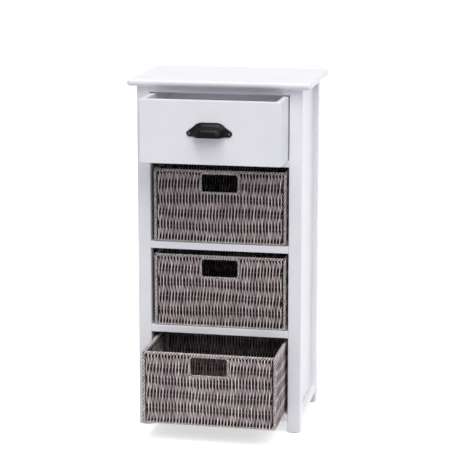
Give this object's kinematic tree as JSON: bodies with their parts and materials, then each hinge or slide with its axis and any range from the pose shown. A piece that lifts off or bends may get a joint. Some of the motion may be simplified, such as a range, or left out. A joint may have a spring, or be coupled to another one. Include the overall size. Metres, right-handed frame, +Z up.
{
  "type": "storage tower",
  "caption": "Narrow free-standing storage tower in white painted wood, with an overhanging top, a drawer with a cup pull, and woven pull-out baskets with hand holes.",
  "frame": {"origin": "on the floor, under the middle of the whole object's box in the pictured pose, with the drawer and the lower basket pulled out", "axes": "+X to the right seen from the front, +Y to the back, +Z up"},
  "size_m": [0.42, 0.414, 0.814],
  "materials": {
    "white_paint": "white satin paint over solid wood, edges eased by hand sanding",
    "painted_board": "white paint on thin hardboard",
    "bare_wood": "bare sanded pale softwood and beech dowels",
    "zinc_steel": "bright zinc plated",
    "black_metal": "black satin lacquer on die-cast metal",
    "nylon": "moulded white nylon",
    "paper_cord": "taupe twisted paper cord, woven upright over level wires",
    "wrapped_rim": "lighter grey twisted paper cord, wrapped slantwise",
    "frame_wire": "welded steel wire with grey-brown paint",
    "base_board": "stiff board covered in taupe paper"
  },
  "bodies": {
    "carcass": {"top_board": "white_paint", "post_front_left": "white_paint", "post_front_right": "white_paint", "post_back_left": "white_paint", "post_back_right": "white_paint", "side_panel_left": "white_paint", "side_panel_right": "white_paint", "side_rail_left": "white_paint", "side_rail_right": "white_paint", "kicker_rail_left": "white_paint", "kicker_rail_right": "white_paint", "front_top_rail": "white_paint", "basket_rail_upper": "white_paint", "basket_rail_lower": "white_paint", "bottom_rail": "white_paint", "back_rail_top": "white_paint", "back_rail_drawer": "white_paint", "back_rail_upper": "white_paint", "back_rail_lower": "white_paint", "back_rail_bottom": "white_paint", "back_panel": "painted_board", "shelf_upper": "painted_board", "shelf_lower": "painted_board", "shelf_bottom": "painted_board", "shelf_battens_upper": "white_paint", "shelf_battens_lower": "white_paint", "corner_blocks": "bare_wood", "dowels": "bare_wood", "top_board_screws": "zinc_steel", "back_panel_nails": "zinc_steel", "foot_glides": "nylon", "drawer_rail": "white_paint", "drawer_runner_left": "bare_wood", "drawer_runner_right": "bare_wood", "drawer_stops": "bare_wood"},
    "drawer": {"drawer_front": "white_paint", "drawer_side_left": "white_paint", "drawer_side_right": "white_paint", "drawer_back": "white_paint", "drawer_bottom": "painted_board", "drawer_dowels": "bare_wood", "cup_pull": "black_metal", "cup_pull_screws": "black_metal"},
    "basket_upper": {"basket_upper_weave": "paper_cord", "basket_upper_rim": "wrapped_rim", "basket_upper_frame": "frame_wire", "basket_upper_base": "base_board"},
    "basket_middle": {"basket_middle_weave": "paper_cord", "basket_middle_rim": "wrapped_rim", "basket_middle_frame": "frame_wire", "basket_middle_base": "base_board"},
    "basket_lower": {"basket_lower_weave": "paper_cord", "basket_lower_rim": "wrapped_rim", "basket_lower_frame": "frame_wire", "basket_lower_base": "base_board"}
  },
  "joints": [
    {"name": "drawer_slide", "type": "slide", "parent": "carcass", "child": "drawer", "axis": [0, -1, 0], "range_m": [-0.105, 0.075]},
    {"name": "basket_upper_slide", "type": "slide", "parent": "carcass", "child": "basket_upper", "axis": [0, -1, 0], "range_m": [0, 0.19]},
    {"name": "basket_middle_slide", "type": "slide", "parent": "carcass", "child": "basket_middle", "axis": [0, -1, 0], "range_m": [0, 0.19]},
    {"name": "basket_lower_slide", "type": "slide", "parent": "carcass", "child": "basket_lower", "axis": [0, -1, 0], "range_m": [-0.125, 0.065]}
  ]
}
